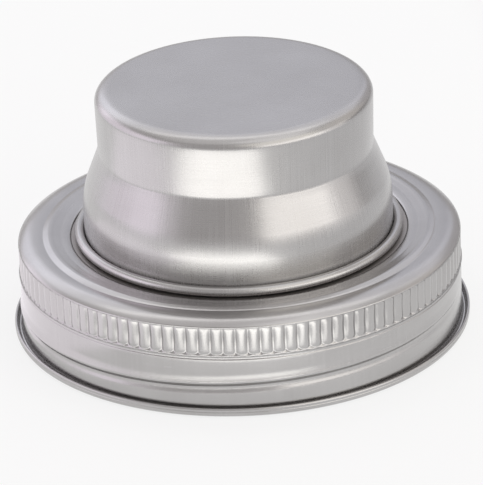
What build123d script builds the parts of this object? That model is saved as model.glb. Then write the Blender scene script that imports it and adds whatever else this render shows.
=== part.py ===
from build123d import *
import math
import os

# A shaker lid for a regular-mouth mason jar, standing on the curled foot of its screw band.
# Millimetres, +Z up. The origin is the centre of the circle that the band stands on.
# Every piece is round about the Z axis and is drawn as a section of (radius, height) points.
# A bend in the sheet is drawn as a few short facets round its true arc, to keep the mesh light.

# Screw band, pressed from thin sheet
band_sheet = 0.45
band_wall_radius = 35.85
band_height = 16.3
band_opening_gap = 1.5

# Foot of the band: the sheet turns outward and up again, and leaves an open slot
foot_slot_width = 0.85
foot_lip_height = 1.55
foot_corners = 4

# Shoulder: an arc from the wall to the flat top, which stands a small step higher
shoulder_radius = 4.0
shoulder_width = 2.5
shoulder_facets = 2
top_step = 0.25
top_step_run = 0.45

# Grip belt: a shallow recess between the wall and the shoulder, with upright flutes all round it
belt_bottom = 9.5
belt_depth = 0.4
belt_slope_height = 0.95
flute_count = 114
flute_depth = 0.4
flute_land = 0.05

# Strainer insert: a flat plate under the band's top, with a raised neck and a slotted top
insert_sheet = 0.5
insert_play = 0.1
insert_side_play = 0.3
neck_drop = 0.4
slot_width = 1.8
slot_length = 6.0
slot_start_radius = 3.6
slot_ring_gap = 2.2
inner_slot_count = 8
outer_slot_count = 24

# Cap, drawn from sheet: a round cup that widens through a cone to a skirt over the neck
cap_sheet = 0.5
cap_height = 25.1
cap_cup_radius = 22.3
cap_edge_radius = 2.6
cap_edge_corners = 3
cap_waist_height = 14.9
cap_knee_inset = 0.55
cap_knee_height = 8.3
cap_skirt_radius = 25.0
cap_skirt_height = 4.8
cap_fit = 0.1
cap_seat_gap = 0.1

# Rolled bead round the foot of the cap
bead_radius = 0.8
bead_corners = 4

# Soft ring under the plate, which the jar's rim presses on
seal_width = 4.3
seal_thickness = 2.0

# Radii and heights that follow from the sizes above
band_inner_radius = band_wall_radius - band_sheet
belt_radius = band_wall_radius - belt_depth
belt_inner_radius = belt_radius - band_sheet
shoulder_top = band_height - top_step
shoulder_end_radius = band_wall_radius - shoulder_width
shoulder_start_angle = math.degrees(math.acos(shoulder_width / shoulder_radius))
belt_top = shoulder_top - shoulder_radius * (1 - math.sin(math.radians(shoulder_start_angle)))
band_underside = shoulder_top - band_sheet
band_opening_radius = cap_skirt_radius + 2 * bead_radius + band_opening_gap
flat_end_radius = shoulder_end_radius + shoulder_width / 3
plate_top = band_underside - insert_play
plate_underside = plate_top - insert_sheet
plate_radius = flat_end_radius - insert_side_play
cap_foot = plate_top + cap_seat_gap
cap_top = cap_foot + cap_height
neck_radius = cap_skirt_radius - cap_sheet - cap_fit
neck_top = cap_foot + cap_skirt_height - neck_drop


def arc_points(centre, radius, start, end, facets):
    """Points on an arc, from the start angle to the end angle in degrees."""
    angles = [math.radians(start + (end - start) * i / facets) for i in range(facets + 1)]
    return [(centre[0] + radius * math.cos(a), centre[1] + radius * math.sin(a)) for a in angles]


def tangent_corners(centre, radius, start, end, corners):
    """Corners of the facets that touch an arc from outside, where straight runs go on from its ends."""
    step = (end - start) / corners
    reach = radius / math.cos(math.radians(step / 2))
    return arc_points(centre, reach, start + step / 2, end - step / 2, corners - 1)


def turn(points):
    """Turn a closed section of (radius, height) points once round the Z axis."""
    section = Plane.XZ * make_face(Polyline(*points, close=True))
    return revolve(section, axis=Axis.Z)


def make_plain_band():
    """The band without its ribs: foot, wall, belt, shoulder and top in one sheet."""
    slot_centre = band_wall_radius + foot_slot_width / 2
    foot_radius = foot_slot_width / 2 + band_sheet
    lip_radius = slot_centre + foot_radius
    shoulder_centre = (shoulder_end_radius, shoulder_top - shoulder_radius)
    return turn(
        tangent_corners((slot_centre, foot_radius), foot_radius, 180, 360, foot_corners)
        + [
            (lip_radius, foot_lip_height),
            (lip_radius - band_sheet, foot_lip_height),
            (lip_radius - band_sheet, band_sheet),
            (band_wall_radius, band_sheet),
            (band_wall_radius, belt_bottom),
            (belt_radius, belt_bottom + belt_slope_height),
            (belt_radius, belt_top - belt_slope_height),
        ]
        + arc_points(shoulder_centre, shoulder_radius, shoulder_start_angle, 90, shoulder_facets)
        + [
            (shoulder_end_radius - top_step_run, band_height),
            (band_opening_radius, band_height),
            (band_opening_radius, band_underside),
            (flat_end_radius, band_underside),
            (belt_inner_radius, belt_top - belt_slope_height),
            (belt_inner_radius, belt_bottom + belt_slope_height),
            (band_inner_radius, belt_bottom),
        ]
    )


def make_flutes():
    """A ring with a zigzag outside: a crest and a valley for each flute."""
    valley = belt_radius + flute_land
    crest = valley + flute_depth
    outline = []
    for i in range(2 * flute_count):
        radius = crest if i % 2 == 0 else valley
        angle = math.pi * i / flute_count
        outline.append((radius * math.cos(angle), radius * math.sin(angle)))
    bottom = belt_bottom + belt_slope_height
    top = belt_top - belt_slope_height
    ring = make_face(Polyline(*outline, close=True)) - Circle(belt_radius - band_sheet / 2)
    return Pos(0, 0, bottom) * extrude(ring, top - bottom)


def make_screw_band():
    return make_plain_band() + make_flutes()


def make_slot_ring(count, start_radius):
    """Cutters for one ring of radial slots in the strainer's top."""
    cutter = Pos(start_radius, 0, neck_top - insert_sheet) * Box(
        slot_length, slot_width, 4 * insert_sheet, align=(Align.MIN, Align.CENTER, Align.CENTER)
    )
    return [Rot(0, 0, 360 * i / count) * cutter for i in range(count)]


def make_strainer_insert():
    inner_radius = neck_radius - insert_sheet
    plain = turn(
        [
            (0, neck_top),
            (neck_radius, neck_top),
            (neck_radius, plate_top),
            (plate_radius, plate_top),
            (plate_radius, plate_underside),
            (inner_radius, plate_underside),
            (inner_radius, neck_top - insert_sheet),
            (0, neck_top - insert_sheet),
        ]
    )
    outer_start = slot_start_radius + slot_length + slot_ring_gap
    slots = make_slot_ring(inner_slot_count, slot_start_radius)
    slots += make_slot_ring(outer_slot_count, outer_start)
    return plain.cut(*slots)


def make_cap():
    """Cup, waist, cone, skirt and bead in one sheet."""
    edge_centre = (cap_cup_radius - cap_edge_radius, cap_top - cap_edge_radius)
    bead_centre = (cap_skirt_radius + bead_radius, cap_foot + bead_radius)
    waist = cap_foot + cap_waist_height
    skirt_top = cap_foot + cap_skirt_height
    outside = (
        [(0, cap_top)]
        + tangent_corners(edge_centre, cap_edge_radius, 90, 0, cap_edge_corners)
        + [
            (cap_cup_radius, waist),
            (cap_skirt_radius - cap_knee_inset, cap_foot + cap_knee_height),
            (cap_skirt_radius, skirt_top),
            (cap_skirt_radius, cap_foot + 2 * bead_radius),
        ]
        + tangent_corners(bead_centre, bead_radius, 90, -90, bead_corners)
    )
    inside = (
        [
            (cap_skirt_radius - cap_sheet, cap_foot),
            (cap_skirt_radius - cap_sheet, skirt_top),
            (cap_cup_radius - cap_sheet, waist),
        ]
        + tangent_corners(edge_centre, cap_edge_radius - cap_sheet, 0, 90, cap_edge_corners - 1)
        + [(0, cap_top - cap_sheet)]
    )
    return turn(outside + inside)


def make_seal_ring():
    seal_bottom = plate_underside - seal_thickness
    return turn(
        [
            (plate_radius, plate_underside),
            (plate_radius, seal_bottom),
            (plate_radius - seal_width, seal_bottom),
            (plate_radius - seal_width, plate_underside),
        ]
    )


nodes = {
    "screw_band": make_screw_band(),
    "strainer_insert": make_strainer_insert(),
    "cap": make_cap(),
    "seal_ring": make_seal_ring(),
}

os.makedirs("parts", exist_ok=True)
for name, solid in nodes.items():
    export_step(solid, os.path.join("parts", name + ".step"))
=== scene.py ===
"""Looks of the mason jar shaker lid: fine sheet-metal meshes, satin steel and soft studio light."""
import math

import bmesh
import bpy
from mathutils import Matrix, Vector


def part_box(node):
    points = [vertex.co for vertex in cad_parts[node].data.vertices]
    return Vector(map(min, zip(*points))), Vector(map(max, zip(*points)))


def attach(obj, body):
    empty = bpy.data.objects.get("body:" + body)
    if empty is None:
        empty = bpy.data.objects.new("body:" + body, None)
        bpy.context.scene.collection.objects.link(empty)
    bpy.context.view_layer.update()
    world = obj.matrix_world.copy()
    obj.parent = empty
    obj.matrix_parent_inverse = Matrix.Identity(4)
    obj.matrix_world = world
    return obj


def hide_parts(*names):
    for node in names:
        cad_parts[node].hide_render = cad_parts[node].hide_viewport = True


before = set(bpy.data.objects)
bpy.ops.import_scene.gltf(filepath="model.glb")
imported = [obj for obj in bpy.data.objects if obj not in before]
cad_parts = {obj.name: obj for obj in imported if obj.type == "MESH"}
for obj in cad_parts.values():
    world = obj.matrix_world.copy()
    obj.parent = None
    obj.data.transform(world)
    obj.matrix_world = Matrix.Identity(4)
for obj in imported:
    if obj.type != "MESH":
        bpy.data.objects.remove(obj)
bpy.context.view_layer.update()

# The lid's sizes are in millimetres, and the studio's are in metres
MM = 0.001


def node_size(node):
    """Outer radius, lowest height and highest height of a round CAD node, in millimetres."""
    low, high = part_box(node)
    return high.x / MM, low.z / MM, high.z / MM


rim_radius, _, band_top = node_size("screw_band")
plate_radius, plate_underside, neck_top = node_size("strainer_insert")
bead_outer_radius, cap_foot, cap_top = node_size("cap")
seal_radius, seal_bottom, seal_top = node_size("seal_ring")

# Foot of the screw band: the sheet curls outward and up, and leaves a slot behind its lip
band_sheet = 0.45
foot_slot_width = 0.85
foot_lip_height = 1.55
foot_flare = 0.15
foot_flare_height = 1.25
foot_flare_reach = 0.85
foot_lip_inset = 0.01
foot_lip_gap = 0.08
hem_line = 1.0
hem_line_depth = 0.07
hem_line_below = 0.06
hem_line_above = 0.07

# Wall of the band
band_wall_radius = rim_radius - foot_slot_width - band_sheet
low_wall_gap = 0.15
low_wall_top = 8.9
low_wall_rows = 34

# Rolled thread: most of a right-handed turn. Its tops are heights above its deepest line.
thread_pitch = 5.08
thread_height = 5.0
thread_start = -215.0
thread_end = 80.0
thread_fade = 22.0
thread_swell = 0.26
thread_swell_top = 2.0
thread_swell_run = 1.4
thread_swell_power = 1.5
thread_depth = 0.3
thread_flank_top = 0.6
thread_flank_run = 0.8
thread_return_top = -0.3
thread_return_run = 1.3

# Grip belt, and the upright flutes round it
belt_bottom = 9.5
belt_depth = 0.4
belt_edge_radius = 0.15
belt_rise = 0.15
belt_ledge_run = 0.02
belt_inner_top = 0.4
belt_inner_bottom = 0.35
flute_count = 114
flute_low = 10.15
flute_high = 14.8
flute_overlap = 0.03
flute_turn = math.radians(2.6)
flute_depth = 0.52
flute_face_share = 0.97
flute_crown_power = 2.1
flute_flank_power = 0.85
flute_end_power = 12
flute_end_fill = 0.6
flute_upper_end = 0.25

# Shoulder, groove, flat top and rolled edge of the band's opening
shoulder_radius = 5.0
shoulder_width = 3.15
top_step = 0.27
top_thickness = 0.85
groove_turn = 9.5
groove_width = 0.1
groove_flat_run = 0.08
groove_wall_run = 0.22
flange_rise_run = 0.9
flange_bend_drop = 0.06
ring_line_radius = 30.2
ring_line_run = 0.24
ring_line_drop = 0.08
band_opening_radius = 27.25
opening_slope = 0.2
opening_roll_run = 1.5
opening_roll_drop = 0.42
opening_bend_run = 0.3
opening_bend_rise = 0.02

# Strainer insert
insert_sheet = 0.5
plate_flat_gap = 0.5
neck_radius = 24.4
neck_fillet = 1.2
neck_foot_fillet = 0.6
neck_inner_fillet = 1.1
slot_width = 1.8
slot_length = 6.0
slot_start_radius = 3.6
slot_ring_gap = 2.2
slots_in_inner_ring = 8
slots_in_outer_ring = 24

# Seal ring
seal_width = 4.3
seal_corner = 0.35

# Cap. The waist's bend goes through four places, as (radius, height) from the cup's wall at the waist.
cap_sheet = 0.5
cap_centre_rings = (0.4, 8.0)
cap_cup_radius = 22.3
cap_edge_run = 2.6
cap_edge_height = 1.8
cap_edge_gap = 0.6
cap_wall_gap = 0.5
cap_waist_height = 14.9
cap_waist_bend = ((-0.15, 0.5), (-0.12, 0.12), (0.02, -0.3), (0.15, -0.75))
cap_cone_lean = 18.0
cap_knee_arc = 14.0
cap_knee_rise = 0.3
cap_skirt_radius = 25.0
cap_skirt_height = 4.8
cap_skirt_gap = 1.1
cap_foot_edge = 0.1
bead_radius = 0.8
bead_join_heights = (0.3, 0.05)

# Steel: the two ends of its slow changes of tone, and the painted shade in the gap round the cap's bead,
# where the plate lies in shadow
steel_dark = (0.44, 0.43, 0.425, 1)
steel_light = (0.52, 0.512, 0.508, 1)
steel_cloud_tone = 0.6
steel_streak_tones = (-0.3, 0.5)
steel_streak_roughness = (-0.02, 0.04)
steel_brush_roughness = 0.03
steel_patch_span = (0.4, 0.62)
steel_patch_least = 0.15
# Tone of the painted shade in the gap round the cap's bead, and the radii and rougher sheet of that ring
gap_painted_shade_tone = (0.34, 0.32, 0.31, 1)
crevice_start = 25.2
crevice_end = 28.5
crevice_fade_in = 0.9
crevice_fade_out = 1.8
crevice_roughness = 0.25

# Silicone, where it is darkest and where it is palest
silicone_dark = (0.74, 0.74, 0.71, 1)
silicone_light = (0.86, 0.86, 0.84, 1)

# The span that a noise mostly keeps to
noise_span = (0.3, 0.7)

# How far up a face may point where it is wholly a wall, and where it stops being one
wall_span = (0.45, 0.9)

# Room
world_tone = (0.58, 0.56, 0.56, 1)
dark_side_tone = (0.4, 0.385, 0.385, 1)
dark_side_azimuth = 135.0
dark_side_height = 18.0
dark_side_span = (0.6, 0.95)

# Floor: a painted pool of light, palest within one radius of a place left of the lid, and painted dimmer
# beyond another
floor_half_size = 2.0
floor_pale = (0.96, 0.96, 0.96, 1)
floor_painted_dim_tone = (0.8, 0.8, 0.81, 1)
floor_shift = 0.1
floor_stretch = 0.35
floor_pale_radius = 0.15
floor_far_radius = 0.21
floor_glow = 0.8

# Lamps and camera
box_distance = 0.6
lamp_aim = Vector((0, 0, 0.02))
camera_elevation = 25.83
camera_distance = 0.7
camera_roll = -2.335
camera_lens = 317.6
camera_aim = Vector((0.0003, 0, 0.0129))

# Mesh fineness. Beside a bend, the flat sheet's first points keep the bend's gap or half of it.
columns = 2 * flute_count
flute_cells = 14
flute_columns = flute_cells * flute_count
bend_gap = 0.2
merge_distance = 1e-7
sharp_turn = 1.0


# Outlines

def arc(centre, radius, start, end, steps):
    """Points on an arc, from the start angle to the end angle in degrees."""
    angles = [math.radians(start + (end - start) * i / steps) for i in range(steps + 1)]
    return [(centre[0] + radius * math.cos(a), centre[1] + radius * math.sin(a)) for a in angles]


def oval_arc(centre, run, rise, start, end, steps):
    """Points on a part of an oval that reaches run to the side and rise upward."""
    return [(centre[0] + run * x, centre[1] + rise * z) for x, z in arc((0, 0), 1, start, end, steps)]


def straight(start, end, steps):
    """Points from start to end, both included."""
    return [
        (start[0] + (end[0] - start[0]) * i / steps, start[1] + (end[1] - start[1]) * i / steps)
        for i in range(steps + 1)
    ]


def smooth_step(x):
    """0 below 0 and 1 above 1, with a soft slope between them."""
    x = min(max(x, 0.0), 1.0)
    return x * x * (3 - 2 * x)


# Meshes

def bridge(mesh, ring_a, ring_b):
    """Faces between two rings. One ring may have a whole number of times more points."""
    coarse, fine = sorted((ring_a, ring_b), key=len)
    ratio = len(fine) // len(coarse)
    for i, corner in enumerate(coarse):
        run = [fine[(i * ratio + k) % len(fine)] for k in range(ratio + 1)]
        mesh.faces.new([corner] + run + [coarse[(i + 1) % len(coarse)]])


def lathe(name, stretches, closed=True):
    """A round sheet from stretches of (points, columns, shape).

    Shape moves a stretch's (radius, height) points by their angle round the axis.
    """
    mesh = bmesh.new()
    rings = []
    for points, count, shape in stretches:
        for radius, height in points:
            ring = []
            for i in range(count):
                angle = 2 * math.pi * i / count
                r, z = shape(angle, radius, height) if shape else (radius, height)
                ring.append(mesh.verts.new((r * math.sin(angle) * MM, -r * math.cos(angle) * MM, z * MM)))
            rings.append(ring)
    for ring_a, ring_b in zip(rings, rings[1:]):
        bridge(mesh, ring_a, ring_b)
    if closed:
        bridge(mesh, rings[-1], rings[0])
    else:
        for ring in (rings[0], rings[-1]):
            mesh.faces.new(ring)
    return finish_mesh(name, mesh)


def finish_mesh(name, mesh):
    """Turn every face outward, shade the mesh smoothly and put it in the scene."""
    bmesh.ops.recalc_face_normals(mesh, faces=mesh.faces)
    for face in mesh.faces:
        face.smooth = True
    data = bpy.data.meshes.new(name)
    mesh.to_mesh(data)
    mesh.free()
    piece = add_object(name, data)
    weighted = piece.modifiers.new("weighted_normals", "WEIGHTED_NORMAL")
    weighted.weight = 80
    weighted.keep_sharp = True
    return piece


def add_object(name, data):
    holder = bpy.data.objects.new(name, data)
    bpy.context.scene.collection.objects.link(holder)
    return holder


# Screw band

def thread_shape(angle, radius, height):
    """Press the thread into the wall.

    Going down, the wall swells outward, drops in over a steep flank and comes back out over a softer one.
    """
    turn = math.degrees(angle)
    for degrees in (turn, turn - 360):
        fade = smooth_step((degrees - thread_start) / thread_fade)
        fade *= smooth_step((thread_end - degrees) / thread_fade)
        above = height - thread_height - thread_pitch * degrees / 360
        swell = min(max((thread_swell_top - above) / thread_swell_run, 0.0), 1.0) ** thread_swell_power
        flank = smooth_step((thread_flank_top - above) / thread_flank_run)
        rise = smooth_step((thread_return_top - above) / thread_return_run)
        radius += fade * (thread_swell * swell - (thread_swell + thread_depth) * flank + thread_depth * rise)
    return radius, height


def low_wall_shape(angle, radius, height):
    """The thread, and a slight flare where the wall turns into the foot."""
    radius, height = thread_shape(angle, radius, height)
    return radius + foot_flare * math.exp(-(((height - foot_flare_height) / foot_flare_reach) ** 2)), height


def flute_shape(angle, radius, height):
    """Raise upright ribs with crowned faces and a narrow valley between them.

    Across a rib u goes from -1 to 1, and v does so up it. The ends are rounded, the upper one least.
    """
    middle = (flute_low + flute_high) / 2
    v = (height - middle) / (flute_high - middle)
    u = ((angle - flute_turn) * flute_count / (2 * math.pi) + 0.5) % 1.0 * 2 - 1
    end = (flute_upper_end if v > 0 else 1.0) * v ** flute_end_power
    rise = max(0.0, 1 - abs(u / flute_face_share) ** flute_crown_power - end)
    belt = belt_rise * smooth_step(abs(v))
    depth = flute_depth * (1 - flute_end_fill * end)
    return radius + belt_depth - depth + belt + (depth - belt) * rise ** flute_flank_power, height


def make_screw_band():
    """One sheet, drawn from the foot's slot up the outside, down the inside and round the curled foot."""
    slot_centre = band_wall_radius + foot_slot_width / 2
    slot_radius = foot_slot_width / 2
    foot_radius = slot_radius + band_sheet
    inner_wall = band_wall_radius - band_sheet
    low_wall_start = foot_radius + low_wall_gap
    slot_floor = arc((slot_centre, foot_radius), slot_radius, 350, 190, 12)
    low_wall = straight((band_wall_radius, low_wall_start), (band_wall_radius, low_wall_top), low_wall_rows)

    belt_radius = band_wall_radius - belt_depth
    belt_edge_centre = (band_wall_radius - belt_edge_radius, belt_bottom - belt_edge_radius)
    ledge = [(belt_radius + belt_rise + belt_ledge_run, flute_low - bend_gap)]
    belt_edge = arc(belt_edge_centre, belt_edge_radius, 0, 70, 4) + ledge
    flute_start = (belt_radius, flute_low - bend_gap / 2)
    flutes = straight(flute_start, (belt_radius, flute_high + flute_overlap), 24)

    shoulder_end = band_wall_radius - shoulder_width
    centre = (shoulder_end, band_top - top_step - shoulder_radius)
    start_angle = math.degrees(math.acos(shoulder_width / shoulder_radius))
    belt_top = centre[1] + shoulder_radius * math.sin(math.radians(start_angle))
    shoulder = arc(centre, shoulder_radius, start_angle, 90 + groove_turn, 13)

    groove_radius, groove_floor = shoulder[-1]
    groove_wall = (groove_radius - groove_wall_run, groove_floor + bend_gap / 2)
    flange_edge = groove_radius - groove_width - flange_rise_run
    platform = band_top - ring_line_drop
    roll_top = platform - opening_slope
    roll_centre = (band_opening_radius + opening_roll_run, roll_top - opening_roll_drop)
    roll_start = (roll_centre[0] + opening_bend_run, roll_top + opening_bend_rise)
    flat_top = (
        [(groove_radius - groove_flat_run, groove_floor)]
        + straight(groove_wall, (flange_edge + bend_gap, band_top - flange_bend_drop), 4)
        + straight((flange_edge, band_top), (ring_line_radius + ring_line_run, band_top), 3)
        + straight((ring_line_radius, platform), roll_start, 4)
        + oval_arc(roll_centre, opening_roll_run, opening_roll_drop, 82, 180, 14)
    )

    under = band_top - top_thickness
    inside = (
        straight((band_opening_radius + bend_gap / 2, under), (shoulder_end - bend_gap, under), 6)
        + arc(centre, under - centre[1], 88, start_angle + 4, 7)
        + [
            (belt_radius - band_sheet, belt_top - belt_inner_top),
            (belt_radius - band_sheet, belt_bottom + belt_inner_bottom),
            (inner_wall, belt_bottom - bend_gap / 2),
        ]
    )
    inner_low_wall = straight((inner_wall, low_wall_top), (inner_wall, low_wall_start), low_wall_rows)

    lip = foot_lip_height - band_sheet / 2
    lip_face = slot_centre + foot_radius - foot_lip_inset
    upper_face = lip_face + foot_lip_inset
    foot = (
        arc((slot_centre, foot_radius), foot_radius, 186, 360, 20)
        + [
            (lip_face, hem_line - hem_line_below),
            (lip_face - hem_line_depth, hem_line),
            (upper_face, hem_line + hem_line_above),
            (upper_face, lip - foot_lip_gap),
        ]
        + arc((lip_face - band_sheet / 2, lip), band_sheet / 2, 0, 180, 7)
        + [(slot_centre + slot_radius, lip - bend_gap / 2)]
    )
    return lathe(
        "screw_band_sheet",
        [
            (slot_floor, columns, None),
            (low_wall, columns, low_wall_shape),
            (belt_edge, columns, None),
            (flutes, flute_columns, flute_shape),
            (shoulder + flat_top + inside, columns, None),
            (inner_low_wall, columns, low_wall_shape),
            (foot, columns, None),
        ],
    )


# Cap

def make_cap():
    """Cup, waist, cone, knee, skirt and rolled bead in one sheet."""
    edge_centre = (cap_cup_radius - cap_edge_run, cap_top - cap_edge_height)
    waist = cap_foot + cap_waist_height
    waist_bend = [(cap_cup_radius + run, waist + rise) for run, rise in cap_waist_bend]
    skirt_top = cap_foot + cap_skirt_height
    knee_centre = (cap_skirt_radius - cap_knee_arc, skirt_top + cap_knee_rise)
    knee = arc(knee_centre, cap_knee_arc, cap_cone_lean, 0, 14)
    bead_middle = cap_foot + bead_radius
    bead_top = bead_middle + bead_radius
    skirt_start = (cap_skirt_radius, skirt_top - cap_skirt_gap)
    outside = (
        [(radius, cap_top) for radius in cap_centre_rings]
        + [(edge_centre[0] - cap_edge_gap, cap_top)]
        + oval_arc(edge_centre, cap_edge_run, cap_edge_height, 90, 0, 20)
        + straight((cap_cup_radius, edge_centre[1] - cap_wall_gap), waist_bend[0], 10)
        + straight(waist_bend[1], waist_bend[2], 2)
        + straight(waist_bend[3], knee[0], 10)[:-1]
        + knee
        + straight(skirt_start, (cap_skirt_radius, bead_top + bend_gap), 4)
        + [(cap_skirt_radius, bead_middle + rise) for rise in bead_join_heights]
        + arc((bead_outer_radius - bead_radius, bead_middle), bead_radius, 178, -90, 26)
    )
    inner = cap_skirt_radius - cap_sheet
    inside = (
        [(inner + cap_foot_edge, cap_foot), (inner, cap_foot + cap_foot_edge), (inner, skirt_top)]
        + straight((knee[0][0] - cap_sheet, knee[0][1]), (cap_cup_radius - cap_sheet, waist), 8)
        + oval_arc(edge_centre, cap_edge_run - cap_sheet, cap_edge_height - cap_sheet, 0, 90, 12)
        + [(radius, cap_top - cap_sheet) for radius in reversed(cap_centre_rings)]
    )
    return lathe("cap_sheet_metal", [(outside + inside, columns, None)], closed=False)


# Strainer insert and seal

def slot_loops(count, start):
    """Outlines of a ring of radial slots with round ends."""
    half = slot_width / 2
    slot = arc((start + half, 0), half, 90, 270, 10)
    slot += arc((start + slot_length - half, 0), half, -90, 90, 10)
    turns = [2 * math.pi * i / count for i in range(count)]
    return [
        [(x * math.cos(a) - y * math.sin(a), x * math.sin(a) + y * math.cos(a)) for x, y in slot]
        for a in turns
    ]


def filled_outline(loops, thickness):
    """A flat sheet with the first loop for its edge and the others for its holes."""
    curve = bpy.data.curves.new("outline", "CURVE")
    curve.dimensions = "2D"
    curve.fill_mode = "BOTH"
    curve.extrude = thickness / 2 * MM
    for loop in loops:
        spline = curve.splines.new("POLY")
        spline.points.add(len(loop) - 1)
        for point, (x, y) in zip(spline.points, loop):
            point.co = (x * MM, y * MM, 0, 1)
        spline.use_cyclic_u = True
    holder = add_object("outline", curve)
    bpy.context.view_layer.update()
    evaluated = holder.evaluated_get(bpy.context.evaluated_depsgraph_get())
    data = bpy.data.meshes.new_from_object(evaluated)
    bpy.data.objects.remove(holder)
    return data


def make_pierced_top():
    """The strainer's flat top, with two rings of slots."""
    outer_start = slot_start_radius + slot_length + slot_ring_gap
    loops = [arc((0, 0), neck_radius - neck_fillet, 0, 360, columns)[:-1]]
    loops += slot_loops(slots_in_inner_ring, slot_start_radius)
    loops += slot_loops(slots_in_outer_ring, outer_start)
    data = filled_outline(loops, insert_sheet)
    data.transform(Matrix.Translation((0, 0, (neck_top - insert_sheet / 2) * MM)))
    mesh = bmesh.new()
    mesh.from_mesh(data)
    bpy.data.meshes.remove(data)
    bmesh.ops.remove_doubles(mesh, verts=mesh.verts, dist=merge_distance)
    for rim in mesh.edges:
        rim.smooth = rim.calc_face_angle(0.0) < sharp_turn
    return finish_mesh("strainer_top", mesh)


def make_strainer_body():
    """The flat plate and the raised neck, up to where the pierced top begins."""
    plate_top = plate_underside + insert_sheet
    top_centre = (neck_radius - neck_fillet, neck_top - neck_fillet)
    foot_centre = (neck_radius + neck_foot_fillet, plate_top + neck_foot_fillet)
    inner = neck_radius - insert_sheet
    inner_centre = (inner + neck_inner_fillet, plate_underside + neck_inner_fillet)
    edge = insert_sheet / 2
    flat_end = plate_radius - plate_flat_gap
    section = (
        arc(top_centre, neck_fillet, 90, 0, 12)
        + [(neck_radius, foot_centre[1] + bend_gap)]
        + arc(foot_centre, neck_foot_fillet, 180, 270, 8)
        + [(neck_radius + 2 * neck_foot_fillet, plate_top), (flat_end, plate_top)]
        + arc((plate_radius - edge, plate_top - edge), edge, 90, -90, 8)
        + [(flat_end, plate_underside), (inner_centre[0] + plate_flat_gap, plate_underside)]
        + arc(inner_centre, neck_inner_fillet, 270, 180, 8)
        + arc(top_centre, neck_fillet - insert_sheet, 0, 90, 8)
    )
    return lathe("strainer_plate", [(section, columns, None)])


def make_seal_ring():
    """A plain ring with rounded corners."""
    outer = seal_radius - seal_corner
    inner = seal_radius - seal_width + seal_corner
    high = seal_top - seal_corner
    low = seal_bottom + seal_corner
    section = (
        arc((outer, high), seal_corner, 90, 0, 5)
        + arc((outer, low), seal_corner, 0, -90, 5)
        + arc((inner, low), seal_corner, -90, -180, 5)
        + arc((inner, high), seal_corner, 180, 90, 5)
    )
    return lathe("seal_ring_rubber", [(section, columns, None)])


# Materials

class Nodes:
    """Short calls for building a node tree."""

    def __init__(self, tree):
        self.tree = tree

    def add(self, kind, inputs=None, **settings):
        node = self.tree.nodes.new(kind)
        for key, value in settings.items():
            setattr(node, key, value)
        for key, value in (inputs or {}).items():
            self.set(node.inputs[key], value)
        return node

    def set(self, socket, value):
        if isinstance(value, bpy.types.NodeSocket):
            self.tree.links.new(value, socket)
        else:
            socket.default_value = value

    def maths(self, operation, a, b=0.0):
        return self.add("ShaderNodeMath", {0: a, 1: b}, operation=operation).outputs[0]

    def total(self, a, b):
        return self.maths("ADD", a, b)

    def product(self, a, b):
        return self.maths("MULTIPLY", a, b)

    def length(self, x, y):
        return self.maths("SQRT", self.total(self.product(x, x), self.product(y, y)))

    def position(self):
        return self.add("ShaderNodeTexCoord").outputs["Object"]

    def split(self, vector):
        return self.add("ShaderNodeSeparateXYZ", {0: vector}).outputs

    def upright(self):
        """1 on walls and 0 on level faces."""
        normal = self.add("ShaderNodeTexCoord").outputs["Normal"]
        return self.between(self.maths("ABSOLUTE", self.split(normal)[2]), 1.0, 0.0, *wall_span)

    def between(self, factor, low, high, from_min=0.0, from_max=1.0):
        """Stretch the span from from_min to from_max over low to high, and hold it there."""
        span = {"From Min": from_min, "From Max": from_max, "To Min": low, "To Max": high}
        return self.add("ShaderNodeMapRange", {"Value": factor, **span}).outputs[0]

    def spread(self, noise, low, high):
        """Stretch the span that a noise mostly keeps to over low to high."""
        return self.between(noise, low, high, *noise_span)

    def noise(self, vector, scale, detail, roughness):
        inputs = {"Vector": vector, "Scale": scale, "Detail": detail, "Roughness": roughness}
        return self.add("ShaderNodeTexNoise", inputs).outputs["Fac"]

    def round_noise(self, around, across, detail, roughness):
        """Noise that runs round the axis. Around and across set how fast it changes."""
        x, y, z = self.split(self.position())
        radius = self.length(x, y)
        safe = self.maths("MAXIMUM", radius, 0.5 * MM)
        turn_x = self.product(self.maths("DIVIDE", x, safe), around)
        turn_y = self.product(self.maths("DIVIDE", y, safe), around)
        run = self.product(self.maths("SUBTRACT", radius, z), across)
        vector = self.add("ShaderNodeCombineXYZ", {0: turn_x, 1: turn_y, 2: run}).outputs[0]
        return self.noise(vector, 1.0, detail, roughness)

    def blend(self, factor, color_a, color_b):
        mix = self.add("ShaderNodeMix", data_type="RGBA")
        self.set(mix.inputs[0], factor)
        self.set(mix.inputs[6], color_a)
        self.set(mix.inputs[7], color_b)
        return mix.outputs[2]

    def bump(self, height, strength, distance):
        inputs = {"Height": height, "Strength": strength, "Distance": distance}
        return self.add("ShaderNodeBump", inputs).outputs[0]


def new_material(name):
    """A material, the calls that build its nodes, and its shader's inputs."""
    material = bpy.data.materials.new(name)
    material.use_nodes = True
    nodes = Nodes(material.node_tree)
    return material, nodes, material.node_tree.nodes["Principled BSDF"].inputs


def painted_gap_shade(nodes, cloud):
    """Painted shade in the gap round the cap's bead: how dark, and how much rougher, the sheet is between
    the crevice's two radii, from 0 to 1.
    """
    x, y, _ = nodes.split(nodes.position())
    radius = nodes.length(x, y)
    inner = nodes.between(radius, 0.0, 1.0, crevice_start * MM, (crevice_start + crevice_fade_in) * MM)
    outer = nodes.between(radius, 1.0, 0.5, (crevice_end - crevice_fade_out) * MM, crevice_end * MM)
    return nodes.product(nodes.product(inner, outer), nodes.spread(cloud, 0.9, 1.0))


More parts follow.
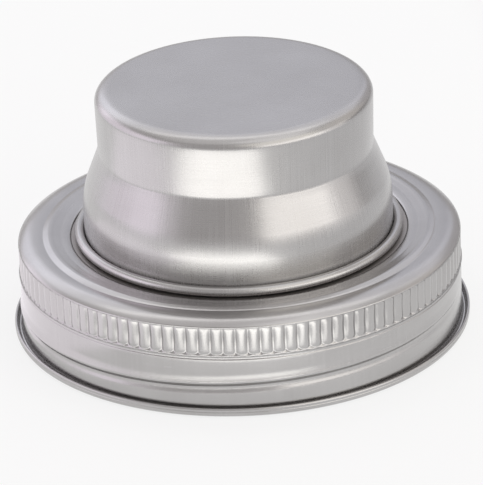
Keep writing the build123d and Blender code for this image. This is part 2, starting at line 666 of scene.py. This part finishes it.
def satin_steel(name, roughness, brush, draw, crevice=False):
    """Rolled stainless sheet: brush lines round the axis, and faint drawing streaks up the walls.

    Brush and draw are the strengths of the two. A crevice is a ring round the axis where shade is painted
    into the colour and the sheet is made rougher.
    """
    material, nodes, shader = new_material(name)
    brush_lines = nodes.round_noise(around=2.0, across=6000.0, detail=4.0, roughness=0.6)
    streaks = nodes.round_noise(around=90.0, across=12.0, detail=7.0, roughness=0.74)
    patches = nodes.round_noise(around=7.0, across=220.0, detail=2.0, roughness=0.5)
    share = nodes.between(patches, steel_patch_least, 1.0, *steel_patch_span)
    share = nodes.product(share, nodes.upright())
    streaks = nodes.total(nodes.product(nodes.maths("SUBTRACT", streaks, 0.5), share), 0.5)
    tone_change, roughness_change = (
        nodes.spread(streaks, low * draw, high * draw)
        for low, high in (steel_streak_tones, steel_streak_roughness)
    )
    cloud = nodes.noise(nodes.position(), scale=80.0, detail=3.0, roughness=0.5)
    tone = nodes.total(nodes.spread(cloud, 0.0, steel_cloud_tone), tone_change)
    color = nodes.blend(tone, steel_dark, steel_light)
    step = steel_brush_roughness
    rough = nodes.spread(brush_lines, roughness - step - step * brush, roughness + step * brush)
    rough = nodes.total(rough, roughness_change)
    if crevice:
        # Painted shade: the crevice ring under the cap's bead is darkened in colour, and made rougher
        gap_shade_share = painted_gap_shade(nodes, cloud)
        color = nodes.blend(gap_shade_share, color, gap_painted_shade_tone)
        rough = nodes.total(rough, nodes.product(gap_shade_share, crevice_roughness))
    height = nodes.total(nodes.product(brush_lines, brush), nodes.product(streaks, draw))
    nodes.set(shader["Base Color"], color)
    nodes.set(shader["Metallic"], 1.0)
    nodes.set(shader["Roughness"], rough)
    nodes.set(shader["Normal"], nodes.bump(height, strength=0.2, distance=0.03 * MM))
    return material


def white_silicone():
    """Soft white rubber, a little cloudy and finely grained."""
    material, nodes, shader = new_material("white_silicone")
    cloud = nodes.noise(nodes.position(), scale=160.0, detail=4.0, roughness=0.6)
    grain = nodes.noise(nodes.position(), scale=3500.0, detail=2.0, roughness=0.5)
    color = nodes.blend(nodes.spread(cloud, 0, 1), silicone_dark, silicone_light)
    nodes.set(shader["Base Color"], color)
    nodes.set(shader["Roughness"], nodes.spread(grain, 0.42, 0.58))
    nodes.set(shader["Normal"], nodes.bump(grain, strength=0.15, distance=0.05 * MM))
    return material


def dress(piece, material, body, slot, *cad_nodes):
    """Give a piece its material and body, and hide the CAD nodes that it stands for."""
    piece.data.materials.append(material)
    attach(piece, body)
    if cad_nodes:
        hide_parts(*cad_nodes)


# Studio

def direction(azimuth, height):
    """Unit vector from the lid. Azimuth 0 is the camera's side, and positive is to the right."""
    a, h = math.radians(azimuth), math.radians(height)
    return Vector((math.sin(a) * math.cos(h), -math.cos(a) * math.cos(h), math.sin(h)))


def make_floor():
    """A pale floor with a painted pool of light round the lid and to its left; the painted light falls off
    to the right and far away.

    What is seen of it is mostly its own glowing tone, painted pool of light included, and the rest of it
    keeps the lid's shadow.
    """
    mesh = bmesh.new()
    bmesh.ops.create_grid(mesh, x_segments=1, y_segments=1, size=floor_half_size)
    data = bpy.data.meshes.new("floor")
    mesh.to_mesh(data)
    mesh.free()
    floor = add_object("floor", data)
    material, nodes, _ = new_material("pale_floor")
    x, y, _ = nodes.split(nodes.position())
    length = nodes.length(nodes.total(x, floor_shift), nodes.product(y, floor_stretch))
    # Painted pool of light: the tone dims from the pale tone to the painted dim tone away from the lid's
    # left
    painted_falloff = nodes.between(length, 0.0, 1.0, floor_pale_radius, floor_far_radius)
    tone = nodes.blend(painted_falloff, floor_pale, floor_painted_dim_tone)
    diffuse = nodes.add("ShaderNodeBsdfDiffuse", {"Color": tone}).outputs[0]
    glow = nodes.add("ShaderNodeEmission", {"Color": tone, "Strength": 1.0}).outputs[0]
    path = nodes.add("ShaderNodeLightPath").outputs
    mirrored = nodes.maths("MAXIMUM", path["Is Glossy Ray"], path["Is Transmission Ray"])
    share = nodes.product(nodes.maths("MAXIMUM", path["Is Camera Ray"], mirrored), floor_glow)
    mix = nodes.add("ShaderNodeMixShader", {0: share, 1: diffuse, 2: glow})
    nodes.tree.nodes.remove(nodes.tree.nodes["Principled BSDF"])
    nodes.set(nodes.tree.nodes["Material Output"].inputs["Surface"], mix.outputs[0])
    data.materials.append(material)


def make_world():
    """An even grey room, darker towards the far right where little light comes from."""
    world = bpy.data.worlds.new("studio")
    world.use_nodes = True
    nodes = Nodes(world.node_tree)
    view = nodes.add("ShaderNodeTexCoord").outputs["Generated"]
    dark_side = tuple(direction(dark_side_azimuth, dark_side_height))
    facing = nodes.add("ShaderNodeVectorMath", {0: view, 1: dark_side}, operation="DOT_PRODUCT")
    near = nodes.between(facing.outputs["Value"], 0.0, 1.0, *dark_side_span)
    background = nodes.tree.nodes["Background"].inputs
    nodes.set(background["Color"], nodes.blend(near, world_tone, dark_side_tone))
    bpy.context.scene.world = world


def make_lamp(name, azimuth, height, size, brightness, color=(1, 1, 1), distance=box_distance, upward=False):
    """A soft box that faces the lid, or lies face up.

    Brightness is what a white card facing the lamp would look like, close up.
    """
    lamp = bpy.data.lights.new(name, "AREA")
    lamp.shape = "RECTANGLE"
    lamp.size, lamp.size_y = size
    lamp.energy = brightness * math.pi * size[0] * size[1]
    lamp.color = color
    holder = add_object(name, lamp)
    holder.location = direction(azimuth, height) * distance
    aim = Vector((0, 0, 1)) if upward else lamp_aim - holder.location
    holder.rotation_euler = aim.to_track_quat("-Z", "Y").to_euler()
    holder.visible_camera = False


def make_camera():
    """The photograph's camera: a long lens, with the slight roll that the picture has."""
    camera = bpy.data.cameras.new("camera")
    camera.lens = camera_lens
    camera.sensor_width = 36.0
    camera.clip_start = 0.01
    holder = add_object("camera", camera)
    holder.location = direction(0, camera_elevation) * camera_distance
    look = (camera_aim - holder.location).to_track_quat("-Z", "Y").to_matrix().to_4x4()
    roll = Matrix.Rotation(math.radians(camera_roll), 4, "Z")
    holder.rotation_euler = (look @ roll).to_euler()
    bpy.context.scene.camera = holder


band_steel = satin_steel("band_steel", 0.255, brush=0.5, draw=0.5)
cap_steel = satin_steel("cap_steel", 0.28, brush=0.25, draw=1.5)
# The insert's steel has painted shade in the ring between the cap's bead and the band's opening
insert_steel = satin_steel("insert_steel", 0.25, brush=0.5, draw=0.2, crevice=True)

dress(make_screw_band(), band_steel, "band", "band_steel", "screw_band")
dress(make_cap(), cap_steel, "lift_off_cap", "cap_steel", "cap")
dress(make_pierced_top(), insert_steel, "insert", "insert_steel")
dress(make_strainer_body(), insert_steel, "insert", "insert_steel", "strainer_insert")
dress(make_seal_ring(), white_silicone(), "insert", "seal_rubber", "seal_ring")

make_floor()
make_world()

# Two faint glows just above the floor, then the boxes at the sides, above and behind
make_lamp("front_glow", -12, 2, (0.09, 0.064), 1.45, (1.0, 0.99, 0.95), distance=0.087, upward=True)
make_lamp("left_glow", -80, 2, (0.1, 0.08), 0.34, (0.97, 0.84, 1.0), distance=0.085, upward=True)
make_lamp("right_box", 45, 16, (0.62, 0.24), 1.35, (1.0, 0.975, 0.93))
make_lamp("right_side", 84, 14, (0.32, 0.3), 0.55, (1.0, 0.97, 0.95))
make_lamp("right_high", 42, 42, (0.6, 0.3), 0.75, (1.0, 0.97, 0.87))
make_lamp("left_box", -100, 17, (1.0, 0.42), 0.68, (0.95, 0.85, 1.0))
make_lamp("left_inner", -66, 17, (0.46, 0.42), 0.22, (0.95, 0.9, 1.0))
make_lamp("back_top", 180, 69, (0.6, 0.13), 0.85)
make_lamp("top_wide", 0, 90, (0.7, 0.5), 0.24, distance=0.5)
make_lamp("back_high", 180, 50, (0.8, 0.28), 0.5, (0.9, 0.92, 1.0))
make_lamp("top_right", 60, 70, (0.4, 0.3), 0.4)
make_lamp("back_box", 184, 28, (0.62, 0.26), 0.36, (0.76, 0.82, 1.0))
make_lamp("back_left", -144, 28, (0.36, 0.34), 0.45, (0.9, 0.9, 1.0))
make_lamp("back_low", 146, 24, (0.3, 0.34), 0.22, (0.95, 0.93, 1.0))
make_lamp("back_right", 112, 34, (0.4, 0.36), 0.4, (1.0, 0.94, 0.86))
make_camera()

bpy.context.scene.view_settings.view_transform = "Standard"
